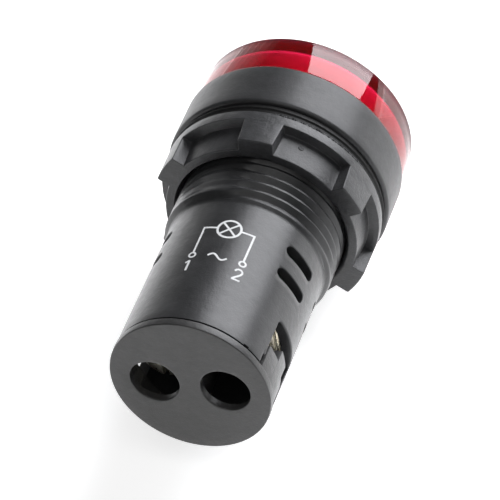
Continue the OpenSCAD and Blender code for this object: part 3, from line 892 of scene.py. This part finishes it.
def make_nut():
    """Nut with its pockets and its internal thread."""
    points = []
    grid = []
    radii = [radius for radius, _ in nut_columns(LOBE_HALF + LOBE_TAPER)]
    order = [(-1.0, index) for index in range(len(radii) - 1, 0, -1)]
    order += [(1.0, index) for index in range(len(radii))]
    mouth, lead = NUT_FRONT - NUT_MOUTH, NUT_REAR + NUT_LEAD
    bore_rows = 56
    for lobe in range(LOBE_COUNT):
        centre = LOBE_ANGLE + 360.0 / LOBE_COUNT * lobe
        for sign, index in order:
            column = []
            for r, z in nut_rows(radii[index]):
                share = min(max((z - NUT_REAR) / (COLLAR_REAR - NUT_REAR), 0.0), 1.0)
                angle = centre + sign * nut_columns(LOBE_HALF + LOBE_TAPER * share)[index][1]
                column.append(len(points))
                points.append(polar(r, angle, z))
            angle = centre + sign * nut_columns(LOBE_HALF + LOBE_TAPER / 2.0)[index][1]
            for row in range(1, bore_rows):
                z = mouth + (lead - mouth) * row / bore_rows
                fade_rear = smooth_step(NUT_REAR + 0.4, NUT_REAR + 1.2, z)
                fade_front = 1.0 - smooth_step(NUT_FRONT - 0.8, NUT_FRONT - 0.2, z)
                depth = NUT_THREAD * min(fade_rear, fade_front)
                r = NUT_BORE_R - depth * thread_height(angle, z + THREAD_PITCH / 2.0)
                column.append(len(points))
                points.append(polar(r, angle, z))
            grid.append(column)
    faces = []
    for column, low in enumerate(grid):
        high = grid[(column + 1) % len(grid)]
        for row in range(len(low)):
            after = (row + 1) % len(low)
            faces.append((low[row], high[row], high[after], low[after]))
    return new_piece("nut", points, faces, 50.0)


nut = make_nut()
finish_piece(nut, NUT_BLACK, "nut", "nut_plastic", "mounting_nut")


def make_flash(name, first, last):
    """Ragged fin that the mould left on the collar's front edge, between two angles."""
    dice = random.Random(7)
    waves = []
    for _ in range(9):
        waves.append((dice.uniform(40.0, 260.0), dice.uniform(0.0, math.tau), dice.uniform(0.3, 1.0)))
    points = []
    faces = []
    steps = 420
    for step in range(steps + 1):
        angle = first + (last - first) * step / steps
        turn = math.radians(angle)
        ragged = abs(sum(size * math.sin(rate * turn + phase) for rate, phase, size in waves)) / 3.0
        ends = min(smooth_step(0.0, 0.08, step / steps), 1.0 - smooth_step(0.9, 1.0, step / steps))
        height = 0.02 + 0.16 * min(ragged, 1.0) * ends
        thick = 0.05 + 0.10 * min(abs(math.sin(3.7 * ragged)), 1.0)
        front = NUT_FRONT - 0.02
        section = ((COLLAR_R - 0.2, front), (COLLAR_R + height, front),
                   (COLLAR_R + height * 0.6, front - thick), (COLLAR_R - 0.2, NUT_FRONT - 0.24))
        points += [polar(r, angle, z) for r, z in section]
    for step in range(steps):
        for row in range(4):
            after = (row + 1) % 4
            faces.append((4 * step + row, 4 * step + after, 4 * step + 4 + after, 4 * step + 4 + row))
    faces += [(3, 2, 1, 0), tuple(4 * steps + row for row in range(4))]
    return new_piece(name, points, faces, 25.0)


def make_ejector_mark(angle, station, radius, height):
    """Low round boss in a pocket of the nut, where a pin pushed it out of the mould."""
    floor_r = NUT_BODY_R + POCKET_RISE * (station - NUT_REAR) / (COLLAR_REAR - NUT_REAR)
    points = []
    faces = []
    around = 28
    rings = [(1.0, -0.3), (1.0, 0.0), (0.94, 0.6), (0.8, 0.95), (0.45, 1.0), (0.3, 0.75)]
    for share, level in rings:
        for index in range(around):
            spin = math.tau * index / around
            across = radius * share * math.cos(spin)
            along = station + radius * share * math.sin(spin)
            points.append(beside(floor_r + height * level, across, along, angle))
    for ring in range(len(rings) - 1):
        for index in range(around):
            after = (index + 1) % around
            base = ring * around
            faces.append((base + index, base + after, base + around + after, base + around + index))
    faces.append(tuple(range(around - 1, -1, -1)))
    faces.append(tuple(range((len(rings) - 1) * around, len(rings) * around)))
    return new_piece("mark", points, faces, 40.0)


finish_piece(make_flash("nut_flash", *FLASH_ANGLES), NUT_BLACK, "nut", "nut_plastic")
marks = [make_ejector_mark(angle, -4.3, 0.36, 0.05) for angle in EJECTOR_ANGLES]
finish_piece(join("nut_ejector_marks", marks), NUT_BLACK, "nut", "nut_plastic")

# Gasket
gasket_path = spread(rounded([
    (GASKET_BORE_R, GASKET_FRONT, 0.1),
    (GASKET_BORE_R, GASKET_REAR, 0.1),
    (GASKET_R, GASKET_REAR, 0.10),
    (14.00, -1.02, 0.05),
    (14.20, -0.86, 0.03),
    (14.22, -0.76, 0.03),
    (14.00, -0.62, 0.05),
    (GASKET_R, GASKET_FRONT, 0.10),
]), 0.9)
gasket = lathe("gasket", gasket_path, 256)
finish_piece(gasket, RUBBER, "gasket", "gasket_rubber", "panel_gasket")

# Lens
lens_path = rounded([
    (0.0, LENS_INSIDE, 0.0),
    (LENS_BORE_R, LENS_INSIDE, 0.34),
    (LENS_BORE_R, SKIRT_END, 0.1),
    (SKIRT_R, SKIRT_END, 0.1),
    (SKIRT_R, 5.35, 0.0),
    (SKIRT_R + 0.25, 5.7, 0.05),
    (SKIRT_R, 6.05, 0.0),
    (SKIRT_R, LENS_SEAT, 0.05),
    (LENS_R, LENS_SEAT, 0.42),
    (LENS_R, LENS_FRONT, 0.22),
    (0.0, LENS_FRONT, 0.0),
])
lens = lathe("lens_moulding", lens_path, 256)
finish_piece(lens, LENS, "housing", "lens_red", "lens")


# Terminal screws with their thread and slot
def make_screw(name, x, head_rear):
    """Slotted cheese-head screw."""
    head_front = head_rear + SCREW_HEAD_H
    tip = head_front + SCREW_LENGTH
    head = rounded([
        (0.0, head_rear, 0.0),
        (SCREW_HEAD_R, head_rear, 0.55),
        (SCREW_HEAD_R, head_front, 0.08),
        (SCREW_R, head_front, 0.0),
    ], 6)
    shank = [(SCREW_R, head_front + SCREW_LENGTH * row / 110.0) for row in range(1, 104)]
    path = head + shank + [(1.1, tip), (0.0, tip)]

    def shape(r, z, angle):
        """Cuts the thread into the shank."""
        if z <= head_front + 0.05 or r < 1.2 or z > tip - 0.3:
            return r, z
        crest = SCREW_PITCH * angle / 360.0
        away = abs((z - crest + SCREW_PITCH / 2.0) % SCREW_PITCH - SCREW_PITCH / 2.0)
        return SCREW_R - SCREW_THREAD * smooth_step(0.04, 0.22, away), z

    screw = lathe(name, path, 56, shape, 50.0)
    slot = rounded_box(SCREW_SLOT_HALF, head_rear - 1.0, head_rear + 0.9, 0.05)(0.0)
    cutter = prism("slot", slot, -3.5, 3.5, 90.0)
    carve(screw, [cutter], "DIFFERENCE", 50.0)
    screw.data.transform(Matrix.Translation((x * MM, 0.0, 0.0)))
    return screw


left_screw = make_screw("left_screw", -TERMINAL_X, LEFT_HEAD_REAR)
finish_piece(left_screw, STEEL, "left_screw", "screw_steel", "left_terminal_screw")
right_screw = make_screw("right_screw", TERMINAL_X, RIGHT_HEAD_REAR)
finish_piece(right_screw, STEEL, "right_screw", "screw_steel", "right_terminal_screw")

# CAD nodes that keep their shape
for node, material in (
    ("lens_seal", SEAL),
    ("reflector", WHITE),
    ("diffuser", FROST),
    ("led_board", BOARD),
    ("led_chips", CHIP),
    ("driver_board", BOARD),
    ("dropper_capacitor", YELLOW),
    ("smoothing_capacitor", SLEEVE),
    ("bridge_rectifier", CHIP_BLACK),
    ("dropper_resistors", BEIGE),
    ("surge_varistor", BLUE),
    ("board_link_pins", BRASS),
    ("left_terminal_plate", PLATE),
    ("right_terminal_plate", PLATE),
    ("left_clamp_washer", STEEL),
    ("right_clamp_washer", STEEL),
):
    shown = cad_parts[node]
    shown.data.materials.clear()
    shown.data.materials.append(material)


# Printed wiring mark on the tube: a lamp symbol between two numbered terminals
MARK_ANGLE = 95.0
MARK_STATION = -21.9
INK_FOOT = -0.01
INK_TOP = 0.014
PEN = 0.26


def stroke(points, width, closed=False):
    """Outline strip of a pen stroke in (across, along) millimetres: pairs of edge points."""
    pairs = []
    count = len(points)
    for index, (x, y) in enumerate(points):
        if closed:
            before, after = points[index - 1], points[(index + 1) % count]
        else:
            before, after = points[max(index - 1, 0)], points[min(index + 1, count - 1)]
        direction = Vector((after[0] - before[0], after[1] - before[1])).normalized()
        side = Vector((-direction.y, direction.x)) * (width / 2.0)
        pairs.append(((x + side.x, y + side.y), (x - side.x, y - side.y)))
    return pairs


def circle(x, y, radius, steps=40):
    """Points of a circle."""
    turns = [math.tau * index / steps for index in range(steps)]
    return [(x + radius * math.cos(turn), y + radius * math.sin(turn)) for turn in turns]


def line(x0, y0, x1, y1, steps=8):
    """Points of a straight stroke."""
    return [(x0 + (x1 - x0) * i / steps, y0 + (y1 - y0) * i / steps) for i in range(steps + 1)]


def make_mark(strokes):
    """Ink strips wrapped on the tube."""
    points, faces = [], []

    def put(across, along, height):
        angle = MARK_ANGLE + math.degrees(across / TUBE_R)
        points.append(polar(TUBE_R + height, angle, MARK_STATION + along))

    for path, width, closed in strokes:
        pairs = stroke(path, width, closed)
        base = len(points)
        for left, right in pairs:
            put(*left, INK_FOOT)
            put(*left, INK_TOP)
            put(*right, INK_TOP)
            put(*right, INK_FOOT)
        last = len(pairs) if closed else len(pairs) - 1
        for index in range(last):
            low = base + 4 * index
            high = base + 4 * ((index + 1) % len(pairs))
            for corner in range(4):
                after = (corner + 1) % 4
                faces.append((low + corner, low + after, high + after, high + corner))
        if not closed:
            end = base + 4 * (len(pairs) - 1)
            faces.append((base, base + 1, base + 2, base + 3))
            faces.append((end, end + 1, end + 2, end + 3))
    return new_piece("wiring_mark", points, faces)


LAMP_Y = 3.3
LAMP_R = 1.45
WIRE_X = 3.2
PIN_Y = -1.6
DIGIT_Y = -3.5
diagonal = LAMP_R * math.sqrt(0.5)
wave = [(-1.2 + 2.4 * index / 30.0, PIN_Y + 0.42 * math.sin(math.tau * index / 30.0)) for index in range(31)]
two = [(-0.5, 0.5), (-0.38, 0.75), (-0.14, 0.9), (0.14, 0.88), (0.38, 0.7), (0.44, 0.42), (0.3, 0.1),
       (-0.05, -0.3), (-0.4, -0.66), (-0.52, -0.85)]
strokes = [
    (circle(0.0, LAMP_Y, LAMP_R), 0.30, True),
    (line(-diagonal, LAMP_Y - diagonal, diagonal, LAMP_Y + diagonal), PEN, False),
    (line(-diagonal, LAMP_Y + diagonal, diagonal, LAMP_Y - diagonal), PEN, False),
    (line(-WIRE_X, DIGIT_Y - 0.85, -WIRE_X, DIGIT_Y + 0.9), 0.28, False),
    (line(-WIRE_X - 0.45, DIGIT_Y + 0.5, -WIRE_X, DIGIT_Y + 0.9, 3), 0.24, False),
    ([(WIRE_X + x, DIGIT_Y + y) for x, y in two], PEN, False),
    (line(WIRE_X - 0.6, DIGIT_Y - 0.85, WIRE_X + 0.5, DIGIT_Y - 0.85), PEN, False),
    (wave, PEN, False),
]
for side in (-1.0, 1.0):
    strokes.append((line(side * LAMP_R, LAMP_Y, side * (WIRE_X + 0.13), LAMP_Y), PEN, False))
    strokes.append((line(side * WIRE_X, LAMP_Y, side * WIRE_X, PIN_Y + 0.4), PEN, False))
    strokes.append((circle(side * WIRE_X, PIN_Y, 0.4, 24), 0.24, True))
mark = make_mark(strokes)
finish_piece(mark, INK, "housing", "reflector_white")

# Camera
EYE = Vector((-0.12839, 0.30673, 0.28835))
RIGHT = Vector((-0.948, -0.296, -0.119)).normalized()
FORWARD = Vector((0.297, -0.683, -0.667)).normalized()
UP = RIGHT.cross(FORWARD).normalized()
RIGHT = FORWARD.cross(UP).normalized()
camera_data = bpy.data.cameras.new("camera")
camera_data.sensor_fit = "HORIZONTAL"
camera_data.sensor_width = 36.0
camera_data.lens = 252.0
camera_data.clip_start = 0.01
camera_data.clip_end = 20.0
camera = bpy.data.objects.new("camera", camera_data)
bpy.context.collection.objects.link(camera)
turned = Matrix((RIGHT, UP, -FORWARD)).transposed().to_4x4()
camera.matrix_world = Matrix.Translation(EYE) @ turned
bpy.context.scene.camera = camera


# Studio: pale floor and softboxes. In a barrel along Y the camera sees mirrored only what lies on one
# cone about Y.
MIDDLE = Vector((0.0, 0.012, 0.0))
CONE_Y = -0.685
CONE_R = math.sqrt(1.0 - CONE_Y * CONE_Y)


def panel(name, aim, across, distance, width, height, radiance, tint=(1.0, 1.0, 1.0)):
    """One-sided light panel that faces the lamp, with its width along a direction."""
    data = bpy.data.lights.new(name, "AREA")
    data.shape = "RECTANGLE"
    data.size = width
    data.size_y = height
    data.energy = radiance * math.pi * width * height
    data.color = tint
    box = bpy.data.objects.new(name, data)
    bpy.context.collection.objects.link(box)
    back = Vector(aim).normalized()
    side = Vector(across)
    side = (side - back * side.dot(back)).normalized()
    box.matrix_world = Matrix.Translation(MIDDLE + back * distance) @ Matrix(
        (side, back.cross(side), back)).transposed().to_4x4()
    return box


def cone_panel(name, first, last, distance, height, radiance, tint=(1.0, 1.0, 1.0)):
    """Panel that covers a stretch of the mirrored cone, from one angle about the axis to another."""
    middle = math.radians((first + last) / 2.0)
    half = math.radians(abs(last - first) / 2.0) * CONE_R
    aim = (CONE_R * math.cos(middle), CONE_Y, CONE_R * math.sin(middle))
    across = (-math.sin(middle), 0.0, math.cos(middle))
    return panel(name, aim, across, distance, 2.0 * distance * math.tan(half), height, radiance, tint)


cone_panel("key", 93.7, 154.3, distance=0.75, height=0.66, radiance=7.0, tint=(0.95, 0.96, 1.0))
cone_panel("side", 172.0, 183.0, distance=0.75, height=0.5, radiance=1.8)
# A dim wall to the right of the lamp, paler towards the floor
for start, glow in ((-2.0, 1.0), (6.0, 0.75), (14.0, 0.55), (22.0, 0.4), (30.0, 0.25), (38.0, 0.1)):
    cone_panel("wall_%d" % start, start, start + 8.0, distance=0.9, height=0.6, radiance=glow)
panel("fill", (-0.2, 0.5, 0.85), (1.0, 0.0, 0.0), distance=1.0, width=0.8, height=0.8, radiance=1.2)

world = bpy.data.worlds.new("studio")
bpy.context.scene.world = world
world.use_nodes = True
tree = world.node_tree
tree.nodes.clear()
output = tree.nodes.new("ShaderNodeOutputWorld")
rays = tree.nodes.new("ShaderNodeLightPath")
mix = tree.nodes.new("ShaderNodeMixShader")
tree.links.new(rays.outputs["Is Camera Ray"], mix.inputs["Fac"])
# The sky is dim for the lamp and white for the camera
for slot, strength in ((1, 0.07), (2, 1.0)):
    sky = tree.nodes.new("ShaderNodeBackground")
    sky.inputs["Color"].default_value = (1.0, 1.0, 1.0, 1.0)
    sky.inputs["Strength"].default_value = strength
    tree.links.new(sky.outputs["Background"], mix.inputs[slot])
tree.links.new(mix.outputs["Shader"], output.inputs["Surface"])

floor_mesh = bpy.data.meshes.new("floor")
reach = 6.0
level = cad_low.z - 0.00005
floor_mesh.from_pydata(
    [(-reach, -reach, level), (reach, -reach, level), (reach, reach, level), (-reach, reach, level)],
    [],
    [(0, 1, 2, 3)],
)
floor = bpy.data.objects.new("floor", floor_mesh)
bpy.context.collection.objects.link(floor)
paper = bpy.data.materials.new("paper")
paper.use_nodes = True
tree = paper.node_tree
tree.nodes.clear()
output = tree.nodes.new("ShaderNodeOutputMaterial")
matt = tree.nodes.new("ShaderNodeBsdfDiffuse")
matt.inputs["Color"].default_value = (0.86, 0.86, 0.86, 1.0)
glow = tree.nodes.new("ShaderNodeEmission")
glow.inputs["Color"].default_value = (1.0, 1.0, 1.0, 1.0)
rays = tree.nodes.new("ShaderNodeLightPath")
level_of = {"Is Camera Ray": 0.7, "Is Glossy Ray": 1.0, "Is Transmission Ray": 1.0}
total = None
for ray, share in level_of.items():
    part = tree.nodes.new("ShaderNodeMath")
    part.operation = "MULTIPLY"
    part.inputs[1].default_value = share
    tree.links.new(rays.outputs[ray], part.inputs[0])
    total = part.outputs[0] if total is None else combined(tree, "MAXIMUM", total, part.outputs[0])
tree.links.new(total, glow.inputs["Strength"])
add = tree.nodes.new("ShaderNodeAddShader")
tree.links.new(matt.outputs["BSDF"], add.inputs[0])
tree.links.new(glow.outputs["Emission"], add.inputs[1])
tree.links.new(add.outputs["Shader"], output.inputs["Surface"])
floor_mesh.materials.append(paper)

bpy.context.scene.view_settings.view_transform = "Standard"
